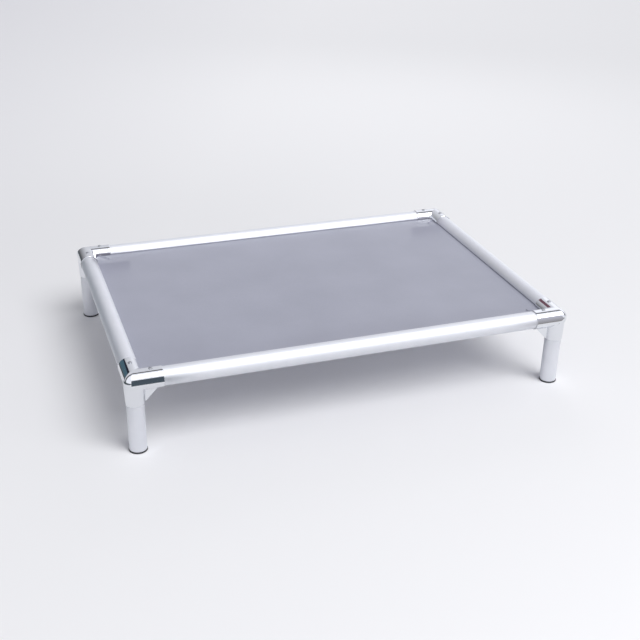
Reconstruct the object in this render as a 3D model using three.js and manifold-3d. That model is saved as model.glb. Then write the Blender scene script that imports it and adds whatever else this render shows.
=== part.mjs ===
// Raised dog bed: a sheet of coated cloth stretched in a frame of slotted aluminium rails.
// The rails meet in four cast corners, and each corner stands on a tube leg with a rubber foot.
// Millimetres, +Z up, long side along X, origin on the floor under the middle of the bed.

import * as THREE from "three";
import { mergeVertices } from "three/addons/utils/BufferGeometryUtils.js";
import Module from "manifold-3d";

// ---- Driving dimensions ----

// Distance between leg axes along the long side (X) and the short side (Y).
const LONG_SPAN = 916;
const SHORT_SPAN = 623;
// Height of the rail axes above the floor.
const RAIL_HEIGHT = 156;

// Rails: round extrusions with a slot on the side that faces the cloth.
const RAIL_RADIUS = 19;
const RAIL_WALL = 2;
const SLOT_WIDTH = 6;

// Legs: plain round tube.
const LEG_RADIUS = 17.8;
const LEG_WALL = 2;

// Cast corners: sleeves over the rails, a socket over the leg, and a web under each sleeve.
const SLEEVE_WALL = 1.7;
const SLEEVE_REACH = 56;
const SLEEVE_STOP_WALL = 1.8;
const ELBOW_FULLNESS = 2;
const SOCKET_DEPTH = 50;
const SOCKET_WALL_TOP = 2.6;
const SOCKET_WALL_MOUTH = 1.3;
const WEB_THICKNESS = 5;
const WEB_TOP_REACH = 47.5;
const WEB_MOUTH_MARGIN = 0.5;
const EDGE_ROUND = 0.6;

// Cloth: a flat sheet with folded hems, and a pocket along each edge for the edge rod.
const CLOTH_THICKNESS = 1.2;
const CLOTH_RISE = 2;
const HEM_LAYERS = 2;
const HEM_WIDTH = 28;
const ROD_RADIUS = 3;

// Feet: a flange under the leg tube and a hollow plug inside it.
const FOOT_FLANGE = 3;
const FOOT_OVERHANG = 0.8;
const FOOT_PLUG_LENGTH = 18;
const FOOT_PLUG_WALL = 2.4;

// Screws: pan heads with a cross recess. The drop is from the rail axes down to the leg's screw.
const SCREW_RADIUS = 2;
const SCREW_LENGTH = 10;
const HEAD_RADIUS = 4;
const HEAD_HEIGHT = 2;
const HEAD_RIM = 0.6;
const RECESS_REACH = 2.2;
const RECESS_WIDTH = 1.1;
const RECESS_DEPTH = 1.3;
const SEAT_DEPTH = 0.4;
const RAIL_SCREW_REACH = 33;
const LEG_SCREW_DROP = 40;

// Gap between pieces that touch on the real object, and how far a cut runs past what it cuts.
const FIT_GAP = 0.3;
const CUT_MARGIN = 1;

// Facets round a full circle.
const TUBE_SIDES = 24;
const SCREW_SIDES = 12;

// ---- Sizes that follow from the driving ones ----

const SLEEVE_BORE = RAIL_RADIUS + FIT_GAP;
const SLEEVE_RADIUS = SLEEVE_BORE + SLEEVE_WALL;
const SOCKET_BORE = LEG_RADIUS + FIT_GAP;
const LEG_INNER_RADIUS = LEG_RADIUS - LEG_WALL;
const SLEEVE_BORE_START = Math.max(SOCKET_BORE, SLEEVE_BORE) + SLEEVE_STOP_WALL;
const RAIL_END = SLEEVE_BORE_START + FIT_GAP;
const SLOT_START = RAIL_END + FIT_GAP;
const RAIL_INNER_RADIUS = RAIL_RADIUS - RAIL_WALL;
const SLOT_LOW = CLOTH_RISE - SLOT_WIDTH / 2;
const SLOT_HIGH = CLOTH_RISE + SLOT_WIDTH / 2;

const HEM_THICKNESS = HEM_LAYERS * CLOTH_THICKNESS;
const POCKET_BORE = ROD_RADIUS + FIT_GAP;
const POCKET_RADIUS = POCKET_BORE + CLOTH_THICKNESS;
const POCKET_OFFSET = RAIL_INNER_RADIUS - POCKET_RADIUS - 2 * FIT_GAP;
const FLAP_END = SLOT_START + FIT_GAP;

const HEAD_SEAT = SLEEVE_RADIUS - SEAT_DEPTH;
const SEAT_RADIUS = HEAD_RADIUS + FIT_GAP;
const SCREW_HOLE = SCREW_RADIUS + FIT_GAP;
const LEG_TOP = RAIL_HEIGHT - FIT_GAP;
const LEG_BOTTOM = FOOT_FLANGE + FIT_GAP;
const LEG_SCREW_HEIGHT = RAIL_HEIGHT - LEG_SCREW_DROP;

const X = new THREE.Vector3(1, 0, 0);
const Y = new THREE.Vector3(0, 1, 0);
const Z = new THREE.Vector3(0, 0, 1);
const INWARD = new THREE.Vector3(1, 1, 0).normalize();

// ---- Materials ----

const anodised = new THREE.MeshStandardMaterial({ color: 0xe2e4e8, roughness: 0.34, metalness: 0.9 });
const polished = new THREE.MeshStandardMaterial({ color: 0xe9ebef, roughness: 0.06, metalness: 1 });
const greyCloth = new THREE.MeshStandardMaterial({ color: 0x8d90a0, roughness: 0.62, metalness: 0 });
const blackRubber = new THREE.MeshStandardMaterial({ color: 0x1d1e23, roughness: 0.7, metalness: 0 });
const rodPlastic = new THREE.MeshStandardMaterial({ color: 0x2b2c30, roughness: 0.5, metalness: 0 });
const steel = new THREE.MeshStandardMaterial({ color: 0xc4c6ca, roughness: 0.25, metalness: 1 });

// ---- Solids ----

const wasm = await Module();
wasm.setup();

/** A closed three.js geometry as a solid that can be cut and joined. */
function toSolid(geometry) {
  const bare = geometry.clone();
  bare.deleteAttribute("normal");
  bare.deleteAttribute("uv");
  const merged = mergeVertices(bare, 1e-4);
  return new wasm.Manifold(
    new wasm.Mesh({
      numProp: 3,
      vertProperties: new Float32Array(merged.attributes.position.array),
      triVerts: new Uint32Array(merged.index.array),
    }),
  );
}

/** A solid as a three.js geometry. */
function toGeometry(solid) {
  const mesh = solid.getMesh();
  const positions = new Float32Array(mesh.numVert * 3);
  for (let i = 0; i < mesh.numVert; i++) {
    const start = i * mesh.numProp;
    positions.set(mesh.vertProperties.subarray(start, start + 3), i * 3);
  }
  return new THREE.BufferGeometry()
    .setAttribute("position", new THREE.BufferAttribute(positions, 3))
    .setIndex(new THREE.BufferAttribute(mesh.triVerts, 1));
}

/** A geometry turned so that its own +Z points along a direction, then moved. */
function aimed(geometry, direction, at = new THREE.Vector3()) {
  const turn = new THREE.Quaternion().setFromUnitVectors(Z, direction);
  return geometry.applyQuaternion(turn).translate(at.x, at.y, at.z);
}

/** A turned piece about +Z, from [radius, height] points that run up its outside. */
function turned(points, sides = TUBE_SIDES) {
  const profile = points.map(([radius, height]) => new THREE.Vector2(radius, height));
  return new THREE.LatheGeometry(profile, sides).rotateX(Math.PI / 2);
}

/** A plain round bar along +Z, from one height to another. */
function bar(radius, from, to, sides = TUBE_SIDES) {
  return turned([[0, from], [radius, from], [radius, to], [0, to]], sides);
}

/** A box from its lowest to its highest corner. */
function block(low, high) {
  const size = high.map((value, i) => value - low[i]);
  const middle = high.map((value, i) => (value + low[i]) / 2);
  return new THREE.BoxGeometry(...size).translate(...middle);
}

/** The mesh of one sub-part. */
function piece(name, geometry, material) {
  const mesh = new THREE.Mesh(geometry, material);
  mesh.name = name;
  return mesh;
}

// ---- Cast corner: its origin is where the rail and leg axes cross, its sleeves run along +X and +Y ----

/** The outside of one sleeve, along +X, with its mouth's edge taken off. */
function sleeveOutside() {
  const profile = [
    [0, 0],
    [SLEEVE_RADIUS, 0],
    [SLEEVE_RADIUS, SLEEVE_REACH - EDGE_ROUND],
    [SLEEVE_RADIUS - EDGE_ROUND, SLEEVE_REACH],
    [0, SLEEVE_REACH],
  ];
  return toSolid(aimed(turned(profile), X));
}

/** The web between a sleeve and the socket, in the plane of the sleeve's axis and the leg's. */
function webUnderSleeve() {
  const mouth = WEB_MOUTH_MARGIN - SOCKET_DEPTH;
  const shape = new THREE.Shape([
    new THREE.Vector2(0, 0),
    new THREE.Vector2(0, mouth),
    new THREE.Vector2(SOCKET_BORE + SOCKET_WALL_MOUTH, mouth),
    new THREE.Vector2(WEB_TOP_REACH, -SLEEVE_BORE - SLEEVE_WALL / 2),
    new THREE.Vector2(WEB_TOP_REACH, 0),
  ]);
  const plate = new THREE.ExtrudeGeometry(shape, { depth: WEB_THICKNESS, bevelEnabled: false });
  return toSolid(plate.translate(0, 0, -WEB_THICKNESS / 2).rotateX(Math.PI / 2));
}

/** The socket's outside: a cup that narrows a little towards its mouth. */
function socketOutside() {
  const top = SOCKET_BORE + SOCKET_WALL_TOP;
  const mouth = SOCKET_BORE + SOCKET_WALL_MOUTH;
  const profile = [
    [0, -SOCKET_DEPTH],
    [mouth - EDGE_ROUND, -SOCKET_DEPTH],
    [mouth, EDGE_ROUND - SOCKET_DEPTH],
    [top, 0],
    [0, 0],
  ];
  return toSolid(turned(profile));
}

/** The elbow where the sleeves meet: two crossed bars with their corners rounded by a flattened ball. */
function elbow() {
  const full = SLEEVE_RADIUS + ELBOW_FULLNESS;
  const ball = new THREE.SphereGeometry(1, TUBE_SIDES, TUBE_SIDES / 2).rotateX(Math.PI / 2);
  const crossX = toSolid(aimed(bar(SLEEVE_RADIUS, -full, full), X));
  const crossY = toSolid(aimed(bar(SLEEVE_RADIUS, -full, full), Y));
  return toSolid(ball.scale(full, full, SLEEVE_RADIUS)).intersect(crossX).intersect(crossY);
}

/** What is cut from one sleeve along +X: the rail's bore, the cloth's slot, and a screw's hole and seat. */
function sleeveCuts() {
  const mouth = SLEEVE_REACH + CUT_MARGIN;
  const outside = SLEEVE_RADIUS + CUT_MARGIN;
  const bore = toSolid(aimed(bar(SLEEVE_BORE, SLEEVE_BORE_START, mouth), X));
  const slot = toSolid(block([SLOT_START, RAIL_INNER_RADIUS, SLOT_LOW], [mouth, outside, SLOT_HIGH]));
  const hole = toSolid(bar(SCREW_HOLE, RAIL_INNER_RADIUS, outside, SCREW_SIDES));
  const seat = toSolid(bar(SEAT_RADIUS, HEAD_SEAT, outside, SCREW_SIDES));
  return bore.add(slot).add(hole.add(seat).translate([RAIL_SCREW_REACH, 0, 0]));
}

/** A solid reflected in the plane x = y, which swaps the two sleeves. */
function swapped(solid) {
  return solid.mirror([1, -1, 0]);
}

/** Distance from the leg's axis to the flat that the head of the leg's screw sits on. */
function legScrewSeat() {
  const share = LEG_SCREW_DROP / SOCKET_DEPTH;
  return SOCKET_BORE + THREE.MathUtils.lerp(SOCKET_WALL_TOP, SOCKET_WALL_MOUTH, share) - SEAT_DEPTH;
}

/** What is cut for the leg: its bore, a hollow over it, and the hole and seat of its screw. */
function socketCuts() {
  const hollowRadius = LEG_INNER_RADIUS - FIT_GAP;
  const hollowTop = Math.sqrt(Math.max(SLEEVE_BORE ** 2 - hollowRadius ** 2, 0));
  const bore = toSolid(bar(SOCKET_BORE, -SOCKET_DEPTH - CUT_MARGIN, 0));
  const hollow = toSolid(bar(hollowRadius, -CUT_MARGIN, hollowTop));
  const outside = SOCKET_BORE + SOCKET_WALL_TOP + CUT_MARGIN;
  const at = new THREE.Vector3(0, 0, -LEG_SCREW_DROP);
  const hole = toSolid(aimed(bar(SCREW_HOLE, LEG_INNER_RADIUS, outside, SCREW_SIDES), INWARD, at));
  const seat = toSolid(aimed(bar(SEAT_RADIUS, legScrewSeat(), outside, SCREW_SIDES), INWARD, at));
  return bore.add(hollow).add(hole).add(seat);
}

/** The whole cast corner. */
function cornerGeometry() {
  const arm = sleeveOutside().add(webUnderSleeve());
  const cuts = sleeveCuts();
  const outside = arm.add(swapped(arm)).add(socketOutside()).add(elbow());
  return toGeometry(outside.subtract(cuts).subtract(swapped(cuts)).subtract(socketCuts()));
}

// ---- Leg, foot and screw: each about +Z ----

/** The leg tube at its real height, with the hole for its screw. */
function legGeometry() {
  const tube = turned([
    [LEG_INNER_RADIUS, LEG_BOTTOM],
    [LEG_RADIUS - EDGE_ROUND, LEG_BOTTOM],
    [LEG_RADIUS, LEG_BOTTOM + EDGE_ROUND],
    [LEG_RADIUS, LEG_TOP],
    [LEG_INNER_RADIUS, LEG_TOP],
    [LEG_INNER_RADIUS, LEG_BOTTOM],
  ]);
  const at = new THREE.Vector3(0, 0, LEG_SCREW_HEIGHT);
  const drill = bar(SCREW_HOLE, LEG_INNER_RADIUS - CUT_MARGIN, LEG_RADIUS + CUT_MARGIN, SCREW_SIDES);
  return toGeometry(toSolid(tube).subtract(toSolid(aimed(drill, INWARD, at))));
}

/** The foot: a flange with eased edges, and a hollow plug that fits the leg tube. */
function footGeometry() {
  const flange = LEG_RADIUS + FOOT_OVERHANG;
  const plug = LEG_INNER_RADIUS - FIT_GAP;
  const core = plug - FOOT_PLUG_WALL;
  const top = FOOT_FLANGE + FOOT_PLUG_LENGTH;
  return turned([
    [0, 0],
    [flange - FOOT_OVERHANG, 0],
    [flange, FOOT_OVERHANG],
    [flange, FOOT_FLANGE],
    [plug, FOOT_FLANGE],
    [plug, top],
    [core, top],
    [core, FOOT_FLANGE],
    [0, FOOT_FLANGE],
  ]);
}

/** A pan head screw: its head's underside is at the origin and its shank below. */
function screwGeometry() {
  const shoulder = Math.SQRT1_2;
  const blank = turned(
    [
      [0, -SCREW_LENGTH],
      [SCREW_RADIUS, SCREW_RADIUS - SCREW_LENGTH],
      [SCREW_RADIUS, 0],
      [HEAD_RADIUS, 0],
      [HEAD_RADIUS, HEAD_RIM],
      [HEAD_RADIUS * shoulder, THREE.MathUtils.lerp(HEAD_RIM, HEAD_HEIGHT, shoulder)],
      [0, HEAD_HEIGHT],
    ],
    SCREW_SIDES,
  );
  const floor = HEAD_HEIGHT - RECESS_DEPTH;
  const above = HEAD_HEIGHT + CUT_MARGIN;
  const half = RECESS_WIDTH / 2;
  const across = toSolid(block([-RECESS_REACH, -half, floor], [RECESS_REACH, half, above]));
  const along = toSolid(block([-half, -RECESS_REACH, floor], [half, RECESS_REACH, above]));
  return toGeometry(toSolid(blank).subtract(across.add(along)));
}

// ---- Rail and edge rod: along +X about the rail's axis, with the slot towards +Y ----

/** The rail's section: a round wall that is open on its inner side. */
function railSection() {
  const highLip = (radius) => Math.asin(SLOT_HIGH / radius);
  const lowLip = (radius) => 2 * Math.PI + Math.asin(SLOT_LOW / radius);
  return new THREE.Shape()
    .absarc(0, 0, RAIL_RADIUS, highLip(RAIL_RADIUS), lowLip(RAIL_RADIUS), false)
    .absarc(0, 0, RAIL_INNER_RADIUS, lowLip(RAIL_INNER_RADIUS), highLip(RAIL_INNER_RADIUS), true);
}

/** One rail of the side whose legs stand a span apart, with a screw hole near each end. */
function railGeometry(span) {
  const length = span - 2 * RAIL_END;
  const drawn = new THREE.ExtrudeGeometry(railSection(), {
    depth: length,
    bevelEnabled: false,
    curveSegments: TUBE_SIDES,
  });
  drawn.translate(0, 0, -length / 2).applyMatrix4(new THREE.Matrix4().makeBasis(Y, Z, X));
  const drill = bar(SCREW_HOLE, RAIL_INNER_RADIUS - CUT_MARGIN, RAIL_RADIUS + CUT_MARGIN, SCREW_SIDES);
  const reach = span / 2 - RAIL_SCREW_REACH;
  const holes = [-reach, reach].map((x) => toSolid(drill).translate([x, 0, 0]));
  return toGeometry(toSolid(drawn).subtract(holes[0]).subtract(holes[1]));
}

/** The rod in the hem pocket of the side whose legs stand a span apart. */
function rodGeometry(span) {
  const half = span / 2 - SLOT_START;
  const at = new THREE.Vector3(0, POCKET_OFFSET, CLOTH_RISE);
  return aimed(bar(ROD_RADIUS, -half, half, SCREW_SIDES), X, at);
}

// ---- Cloth: about the middle of the bed, at the height of the rail axes ----

/** A flat rectangle of cloth, given how far its edges lie inside the leg axes along X and Y. */
function layer(insetX, insetY, thickness) {
  const x = LONG_SPAN / 2 - insetX;
  const y = SHORT_SPAN / 2 - insetY;
  return toSolid(block([-x, -y, CLOTH_RISE - thickness / 2], [x, y, CLOTH_RISE + thickness / 2]));
}

/** The four round bars that run in or round the edge rods. */
function roundEdges(radius, endInset) {
  const longHalf = LONG_SPAN / 2 - endInset;
  const shortHalf = SHORT_SPAN / 2 - endInset;
  const long = toSolid(aimed(bar(radius, -longHalf, longHalf, SCREW_SIDES), X));
  const short = toSolid(aimed(bar(radius, -shortHalf, shortHalf, SCREW_SIDES), Y));
  const y = SHORT_SPAN / 2 - POCKET_OFFSET;
  const x = LONG_SPAN / 2 - POCKET_OFFSET;
  return wasm.Manifold.union([
    long.translate([0, -y, CLOTH_RISE]),
    long.translate([0, y, CLOTH_RISE]),
    short.translate([-x, 0, CLOTH_RISE]),
    short.translate([x, 0, CLOTH_RISE]),
  ]);
}

/** The cloth: a single sheet, its folded hems and the flaps of them in the slots, and the pockets. */
function clothGeometry() {
  const visible = SLEEVE_RADIUS + 2 * FIT_GAP;
  const hemEnd = SLEEVE_RADIUS + HEM_WIDTH;
  const hemmed = layer(visible, visible, HEM_THICKNESS)
    .add(layer(FLAP_END, POCKET_OFFSET, HEM_THICKNESS))
    .add(layer(POCKET_OFFSET, FLAP_END, HEM_THICKNESS));
  const single = layer(hemEnd - CUT_MARGIN, hemEnd - CUT_MARGIN, CLOTH_THICKNESS);
  const cloth = hemmed
    .subtract(layer(hemEnd, hemEnd, HEM_THICKNESS + CUT_MARGIN))
    .add(single)
    .add(roundEdges(POCKET_RADIUS, FLAP_END))
    .subtract(roundEdges(POCKET_BORE, FLAP_END - CUT_MARGIN));
  return toGeometry(cloth);
}

// ---- Assembly ----

const SIDES = ["front", "right", "back", "left"];
const CORNERS = [
  { place: "front_left", x: -1, y: -1 },
  { place: "front_right", x: 1, y: -1 },
  { place: "back_right", x: 1, y: 1 },
  { place: "back_left", x: -1, y: 1 },
];

const bed = new THREE.Group();

/** A corner with its leg, foot and screws, in a group that is turned so that its sleeves point inwards. */
function addCorner({ place, x, y }, index) {
  const group = new THREE.Group();
  group.position.set((x * LONG_SPAN) / 2, (y * SHORT_SPAN) / 2, 0);
  group.rotation.z = (index * Math.PI) / 2;

  const casting = piece(`${place}_corner`, cornerGeometry(), polished);
  casting.position.z = RAIL_HEIGHT;
  group.add(casting);
  group.add(piece(`${place}_leg`, legGeometry(), anodised));
  group.add(piece(`${place}_foot`, footGeometry(), blackRubber));

  const headHeight = RAIL_HEIGHT + HEAD_SEAT + FIT_GAP;
  const railAlongX = SIDES[index];
  const railAlongY = SIDES[(index + 3) % SIDES.length];
  const screwX = piece(`${railAlongX}_rail_screw_${place}`, screwGeometry(), steel);
  screwX.position.set(RAIL_SCREW_REACH, 0, headHeight);
  const screwY = piece(`${railAlongY}_rail_screw_${place}`, screwGeometry(), steel);
  screwY.position.set(0, RAIL_SCREW_REACH, headHeight);
  const legScrew = piece(`${place}_leg_screw`, screwGeometry(), steel);
  legScrew.quaternion.setFromUnitVectors(Z, INWARD);
  legScrew.position.copy(INWARD).multiplyScalar(legScrewSeat() + FIT_GAP);
  legScrew.position.z = LEG_SCREW_HEIGHT;
  group.add(screwX, screwY, legScrew);
  bed.add(group);
}

/** A rail with its edge rod, in a group that is turned about the middle of the bed. */
function addSide(side, index) {
  const isLong = index % 2 === 0;
  const span = isLong ? LONG_SPAN : SHORT_SPAN;
  const crossSpan = isLong ? SHORT_SPAN : LONG_SPAN;
  const group = new THREE.Group();
  group.rotation.z = (index * Math.PI) / 2;
  const rail = piece(`${side}_rail`, railGeometry(span), anodised);
  const rod = piece(`${side}_edge_rod`, rodGeometry(span), rodPlastic);
  for (const mesh of [rail, rod]) {
    mesh.position.set(0, -crossSpan / 2, RAIL_HEIGHT);
    group.add(mesh);
  }
  bed.add(group);
}

CORNERS.forEach(addCorner);
SIDES.forEach(addSide);

const cloth = piece("cloth", clothGeometry(), greyCloth);
cloth.position.z = RAIL_HEIGHT;
bed.add(cloth);

export default bed;
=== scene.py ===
"""Raised dog bed: a sheet of coated cloth stretched in a frame of slotted aluminium rails.

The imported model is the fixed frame. Each class below builds one kind of sub-assembly round it and gives it
its finish. Sizes are in millimetres, the scene is in metres, +Z is up, and the bed's long side lies along X.
"""

import logging
import math
from collections.abc import Callable, Iterator, Mapping, Sequence
from contextlib import contextmanager
from dataclasses import dataclass, field
from enum import Enum
from itertools import pairwise
from typing import Any

import bmesh
import bpy
from bpy.types import Material, Node, NodeSocket, NodeTree, Object
from mathutils import Matrix, Vector


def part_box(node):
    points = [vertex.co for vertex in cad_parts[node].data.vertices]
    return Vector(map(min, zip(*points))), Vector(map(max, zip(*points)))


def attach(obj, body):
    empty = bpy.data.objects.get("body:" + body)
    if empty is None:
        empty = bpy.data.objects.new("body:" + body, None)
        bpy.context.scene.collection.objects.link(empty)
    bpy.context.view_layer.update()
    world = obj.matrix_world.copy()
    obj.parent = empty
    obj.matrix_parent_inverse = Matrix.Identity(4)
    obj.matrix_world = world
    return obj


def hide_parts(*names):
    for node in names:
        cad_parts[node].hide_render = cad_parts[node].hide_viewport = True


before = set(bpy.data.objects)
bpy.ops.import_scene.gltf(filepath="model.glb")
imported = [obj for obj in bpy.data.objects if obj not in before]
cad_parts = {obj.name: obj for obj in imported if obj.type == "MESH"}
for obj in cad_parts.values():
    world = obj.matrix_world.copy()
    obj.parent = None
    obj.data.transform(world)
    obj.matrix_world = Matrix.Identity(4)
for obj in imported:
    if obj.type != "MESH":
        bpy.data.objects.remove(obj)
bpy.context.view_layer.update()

log = logging.getLogger("dog_bed")

MM = 0.001
TUBE_STEPS = 96
SMOOTH_BELOW = math.radians(38)

Outline = Sequence[tuple[float, float]]


# ---- Where things are ----


class Side(Enum):
    """The four sides of the bed, each with its quarter turns from the front."""

    FRONT = 0
    RIGHT = 1
    BACK = 2
    LEFT = 3

    @property
    def label(self) -> str:
        """The side's word in piece names."""
        return self.name.lower()

    @property
    def is_long(self) -> bool:
        """Whether the side runs along the bed's length."""
        return self.value % 2 == 0


class Corner(Enum):
    """The four corners, each with its quarter turns from the front left one."""

    FRONT_LEFT = 0
    FRONT_RIGHT = 1
    BACK_RIGHT = 2
    BACK_LEFT = 3

    @property
    def label(self) -> str:
        """The corner's words in piece names."""
        return self.name.lower()

    @property
    def signs(self) -> tuple[int, int]:
        """The signs of the corner's X and Y."""
        return (1 if self.value in (1, 2) else -1, 1 if self.value in (2, 3) else -1)

    @property
    def sides(self) -> tuple[Side, Side]:
        """The sides whose rails end here: the one along the casting's own X, then the one along its Y."""
        return Side(self.value), Side((self.value + 3) % 4)


class Element(Enum):
    """What an edit-mode selection picks."""

    VERTEX = "VERT"
    EDGE = "EDGE"
    FACE = "FACE"


@dataclass(frozen=True)
class BedPlan:
    """The sizes that the sub-assemblies share: leg spacing and the height of the rails' axes."""

    long_span: float
    short_span: float
    rail_height: float

    @classmethod
    def from_frame(cls) -> "BedPlan":
        """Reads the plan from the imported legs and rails.

        Returns:
            The plan.
        """
        leg_low, leg_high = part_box("back_right_leg")
        rail_low, rail_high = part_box("front_rail")
        return cls(
            long_span=round((leg_low.x + leg_high.x) / MM, 2),
            short_span=round((leg_low.y + leg_high.y) / MM, 2),
            rail_height=round((rail_low.z + rail_high.z) / 2 / MM, 2),
        )

    def span(self, side: Side) -> float:
        """The distance between the legs of a side."""
        return self.long_span if side.is_long else self.short_span

    def reach(self, side: Side) -> float:
        """How far a side's axis lies from the middle of the bed."""
        return (self.short_span if side.is_long else self.long_span) / 2


# ---- Modelling steps ----


def deselect_all() -> None:
    """Leaves edit mode and selects nothing."""
    if bpy.context.object is not None and bpy.context.object.mode != "OBJECT":
        bpy.ops.object.mode_set(mode="OBJECT")
    bpy.ops.object.select_all(action="DESELECT")


def activate(*pieces: Object) -> None:
    """Selects only these pieces and makes the first one active."""
    deselect_all()
    for piece in pieces:
        piece.select_set(True)
    bpy.context.view_layer.objects.active = pieces[0]


@contextmanager
def editing(piece: Object, element: Element = Element.VERTEX) -> Iterator[None]:
    """Opens a piece in edit mode, with everything selected, and closes it again.

    Args:
        piece: the mesh to edit.
        element: what is picked while it is open.

    Yields:
        Nothing, while the piece is open.
    """
    activate(piece)
    bpy.ops.object.mode_set(mode="EDIT")
    bpy.ops.mesh.select_mode(type=element.value)
    bpy.ops.mesh.select_all(action="SELECT")
    yield
    bpy.ops.object.mode_set(mode="OBJECT")


def pick(piece: Object, element: Element, test: Callable[[Vector], bool]) -> int:
    """Selects the parts of an open mesh whose middle passes a test.

    Args:
        piece: the piece that is open in edit mode.
        element: what to select.
        test: takes a middle in millimetres, and says whether it is wanted.

    Returns:
        How many were selected.
    """
    bpy.ops.mesh.select_mode(type=element.value)
    bpy.ops.mesh.select_all(action="DESELECT")
    mesh = bmesh.from_edit_mesh(piece.data)
    groups = {Element.VERTEX: mesh.verts, Element.EDGE: mesh.edges, Element.FACE: mesh.faces}
    found = 0
    for item in groups[element]:
        corners = [item] if element is Element.VERTEX else list(item.verts)
        middle = sum((corner.co for corner in corners), Vector()) / len(corners)
        if test(middle / MM):
            item.select_set(True)
            found += 1
    mesh.select_flush_mode()
    bmesh.update_edit_mesh(piece.data)
    return found


def extrude(step: Sequence[float]) -> None:
    """Extrudes the selection by a step in millimetres."""
    bpy.ops.mesh.extrude_region_move(TRANSFORM_OT_translate={"value": [value * MM for value in step]})


def modify(piece: Object, kind: str, **settings: Any) -> None:
    """Adds a modifier to a piece and applies it.

    Args:
        piece: the mesh to change.
        kind: the modifier's type.
        settings: its settings.
    """
    activate(piece)
    modifier = piece.modifiers.new(kind.title(), kind)
    for name, value in settings.items():
        setattr(modifier, name, value)
    bpy.ops.object.modifier_apply(modifier=modifier.name)


def combine(piece: Object, tool: Object, operation: str) -> None:
    """Joins, cuts or trims a piece with a tool, which is used up.

    Args:
        piece: the mesh to change.
        tool: the closed mesh that works on it.
        operation: UNION, DIFFERENCE or INTERSECT.
    """
    modify(piece, "BOOLEAN", operation=operation, object=tool, solver="EXACT")
    bpy.data.objects.remove(tool)


def joined(pieces: Sequence[Object]) -> Object:
    """Puts several meshes into the first one, as they are.

    Args:
        pieces: the meshes.

    Returns:
        The first one, with the others in it.
    """
    activate(*pieces)
    bpy.ops.object.join()
    return pieces[0]


def moved(piece: Object, turn: Sequence[float] = (0, 0, 0), at: Sequence[float] = (0, 0, 0)) -> Object:
    """Turns and moves a piece, and puts its place into its mesh.

    Args:
        piece: the piece to move.
        turn: degrees about X, Y and Z.
        at: millimetres along X, Y and Z.

    Returns:
        The same piece.
    """
    piece.rotation_euler = [math.radians(angle) for angle in turn]
    piece.location = [value * MM for value in at]
    activate(piece)
    bpy.ops.object.transform_apply(location=True, rotation=True, scale=True)
    return piece


def draw(points: Sequence[Sequence[float]]) -> Object:
    """Draws a chain of edges, vertex by vertex.

    Args:
        points: its points in millimetres.

    Returns:
        A piece that is the chain alone.
    """
    deselect_all()
    bpy.ops.mesh.primitive_plane_add(size=MM)
    piece = bpy.context.object
    with editing(piece):
        bpy.ops.mesh.merge(type="CENTER")
        bpy.ops.mesh.select_all(action="SELECT")
        bpy.ops.transform.translate(value=[value * MM for value in points[0]])
        for start, end in pairwise(points):
            extrude([b - a for a, b in zip(start, end)])
    return piece


def close_up(piece: Object) -> Object:
    """Merges a mesh's doubles and points its faces outwards."""
    with editing(piece):
        bpy.ops.mesh.remove_doubles(threshold=0.002 * MM)
        bpy.ops.mesh.normals_make_consistent(inside=False)
    return piece


def turned(outline: Outline, steps: int = TUBE_STEPS) -> Object:
    """Turns an outline about the Z axis, as on a lathe.

    Args:
        outline: (radius, height) points in millimetres. It starts and ends on the axis, or where it began.
        steps: how many steps a full turn takes.

    Returns:
        A closed piece.
    """
    piece = draw([(radius, 0, height) for radius, height in outline])
    with editing(piece):
        bpy.ops.mesh.spin(steps=steps, angle=math.tau, center=(0, 0, 0), axis=(0, 0, 1))
    return close_up(piece)


def bar(radius: float, start: float, end: float, steps: int = TUBE_STEPS) -> Object:
    """A plain round bar along Z, for joining and cutting."""
    return turned([(0, start), (radius, start), (radius, end), (0, end)], steps)


def block(low: Sequence[float], high: Sequence[float]) -> Object:
    """A box from its lowest to its highest corner, for joining and cutting.

    Args:
        low: its lowest corner, in millimetres.
        high: its highest corner, in millimetres.

    Returns:
        The box.
    """
    deselect_all()
    bpy.ops.mesh.primitive_cube_add(
        size=1,
        location=[(a + b) / 2 * MM for a, b in zip(low, high)],
        scale=[(b - a) * MM for a, b in zip(low, high)],
    )
    return moved_as_placed(bpy.context.object)


def moved_as_placed(piece: Object) -> Object:
    """Puts a primitive's place, turn and scale into its mesh.

    Args:
        piece: the primitive.

    Returns:
        The same piece.
    """
    activate(piece)
    bpy.ops.object.transform_apply(location=True, rotation=True, scale=True)
    return piece


def copy_of(piece: Object) -> Object:
    """A copy of a piece with its own mesh.

    Args:
        piece: the piece to copy.

    Returns:
        The copy.
    """
    made = piece.copy()
    made.data = piece.data.copy()
    bpy.context.collection.objects.link(made)
    return made


def hand_over(piece: Object, name: str, material: Material, node: str) -> Object:
    """Names, shades and dresses a finished piece, and puts it in its CAD node's place.

    Args:
        piece: the finished mesh, at the origin.
        name: the piece's name.
        material: its finish.
        node: the CAD node that it stands for.

    Returns:
        The same piece.
    """
    activate(piece)
    bpy.ops.object.shade_smooth_by_angle(angle=SMOOTH_BELOW)
    piece.name = name
    piece.data.name = name
    piece.data.materials.clear()
    piece.data.materials.append(material)
    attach(piece, "root")
    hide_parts(node)
    log.info("%s: %d faces, finish %s, for %s", name, len(piece.data.polygons), material.name, node)
    return piece


# ---- Finishes ----


def linear(colour: str, alpha: float = 1.0) -> tuple[float, float, float, float]:
    """An sRGB hex colour as the linear colour that the shaders take.

    Args:
        colour: the colour, such as #A0B0C0.
        alpha: its opacity.

    Returns:
        Red, green, blue and opacity.
    """
    channels = [int(colour[i : i + 2], 16) / 255 for i in (1, 3, 5)]
    red, green, blue = (c / 12.92 if c <= 0.04045 else ((c + 0.055) / 1.055) ** 2.4 for c in channels)
    return red, green, blue, alpha


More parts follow.
